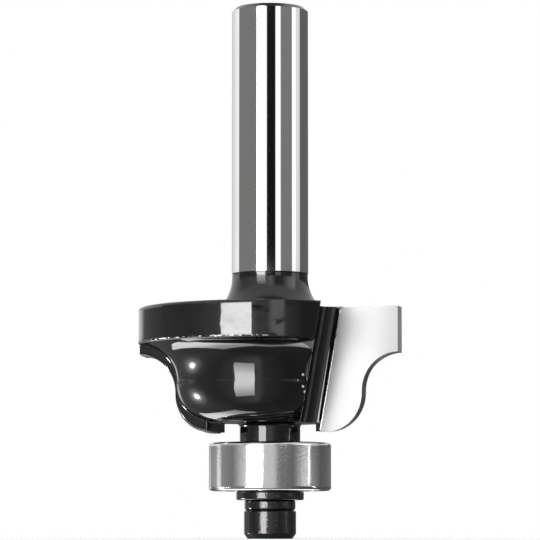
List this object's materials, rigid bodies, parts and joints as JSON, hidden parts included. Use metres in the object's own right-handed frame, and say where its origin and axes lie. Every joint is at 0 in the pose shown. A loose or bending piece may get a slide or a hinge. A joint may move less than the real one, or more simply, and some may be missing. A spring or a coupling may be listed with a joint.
{
  "type": "router bit",
  "caption": "Ogee router bit with a straight shank, carbide cutters on a lobed steel body, and a ball-bearing pilot held by a socket cap screw and washers.",
  "frame": {"origin": "on the rotation axis, at the socket face of the screw head that the bit stands on", "axes": "+Z along the rotation axis from the pilot bearing to the shank; the rake faces of the two cutters lie in the plane Y = 0, the +X cutter facing -Y"},
  "size_m": [0.0286, 0.0274, 0.0556],
  "materials": {
    "body_lacquer": "gloss black lacquer, with the shank polished bare",
    "carbide": "fine ground tungsten carbide",
    "bearing_steel": "ground and honed bearing steel",
    "ball_steel": "polished",
    "pressed_steel": "pressed sheet, satin",
    "black_steel": "blackened, oiled"
  },
  "bodies": {
    "cutter": {"cutter_body": "body_lacquer", "carbide_cutter_1": "carbide", "carbide_cutter_2": "carbide", "bearing_inner_ring": "bearing_steel", "clamp_washer": "black_steel", "lock_washer": "black_steel", "cap_screw": "black_steel"},
    "bearing_outer": {"bearing_outer_ring": "bearing_steel", "upper_shield": "pressed_steel", "lower_shield": "pressed_steel", "upper_snap_ring": "pressed_steel", "lower_snap_ring": "pressed_steel"},
    "bearing_cage": {"bearing_cage": "pressed_steel"},
    "bearing_ball_1": {"bearing_ball_1": "ball_steel"},
    "bearing_ball_2": {"bearing_ball_2": "ball_steel"},
    "bearing_ball_3": {"bearing_ball_3": "ball_steel"},
    "bearing_ball_4": {"bearing_ball_4": "ball_steel"},
    "bearing_ball_5": {"bearing_ball_5": "ball_steel"},
    "bearing_ball_6": {"bearing_ball_6": "ball_steel"},
    "bearing_ball_7": {"bearing_ball_7": "ball_steel"}
  },
  "joints": [
    {"name": "bearing_spin", "type": "hinge", "parent": "cutter", "child": "bearing_outer", "pos_m": [0, 0, 0.00744], "axis": [0, 0, 1], "continuous": true},
    {"name": "cage_orbit", "type": "hinge", "parent": "cutter", "child": "bearing_cage", "pos_m": [0, 0, 0.00744], "axis": [0, 0, 1], "continuous": true},
    {"name": "ball_1_roll", "type": "hinge", "parent": "bearing_cage", "child": "bearing_ball_1", "pos_m": [0.00437, 0, 0.00744], "axis": [0, 0, 1], "continuous": true},
    {"name": "ball_2_roll", "type": "hinge", "parent": "bearing_cage", "child": "bearing_ball_2", "pos_m": [0.00272, 0.00341, 0.00744], "axis": [0, 0, 1], "continuous": true},
    {"name": "ball_3_roll", "type": "hinge", "parent": "bearing_cage", "child": "bearing_ball_3", "pos_m": [-0.00097, 0.00426, 0.00744], "axis": [0, 0, 1], "continuous": true},
    {"name": "ball_4_roll", "type": "hinge", "parent": "bearing_cage", "child": "bearing_ball_4", "pos_m": [-0.00393, 0.00189, 0.00744], "axis": [0, 0, 1], "continuous": true},
    {"name": "ball_5_roll", "type": "hinge", "parent": "bearing_cage", "child": "bearing_ball_5", "pos_m": [-0.00393, -0.00189, 0.00744], "axis": [0, 0, 1], "continuous": true},
    {"name": "ball_6_roll", "type": "hinge", "parent": "bearing_cage", "child": "bearing_ball_6", "pos_m": [-0.00097, -0.00426, 0.00744], "axis": [0, 0, 1], "continuous": true},
    {"name": "ball_7_roll", "type": "hinge", "parent": "bearing_cage", "child": "bearing_ball_7", "pos_m": [0.00272, -0.00341, 0.00744], "axis": [0, 0, 1], "continuous": true}
  ],
  "couplings": [
    {"joint": "cage_orbit", "follows": "bearing_spin", "ratio": 0.63636},
    {"joint": "ball_1_roll", "follows": "bearing_spin", "ratio": 1.697},
    {"joint": "ball_2_roll", "follows": "bearing_spin", "ratio": 1.697},
    {"joint": "ball_3_roll", "follows": "bearing_spin", "ratio": 1.697},
    {"joint": "ball_4_roll", "follows": "bearing_spin", "ratio": 1.697},
    {"joint": "ball_5_roll", "follows": "bearing_spin", "ratio": 1.697},
    {"joint": "ball_6_roll", "follows": "bearing_spin", "ratio": 1.697},
    {"joint": "ball_7_roll", "follows": "bearing_spin", "ratio": 1.697}
  ]
}
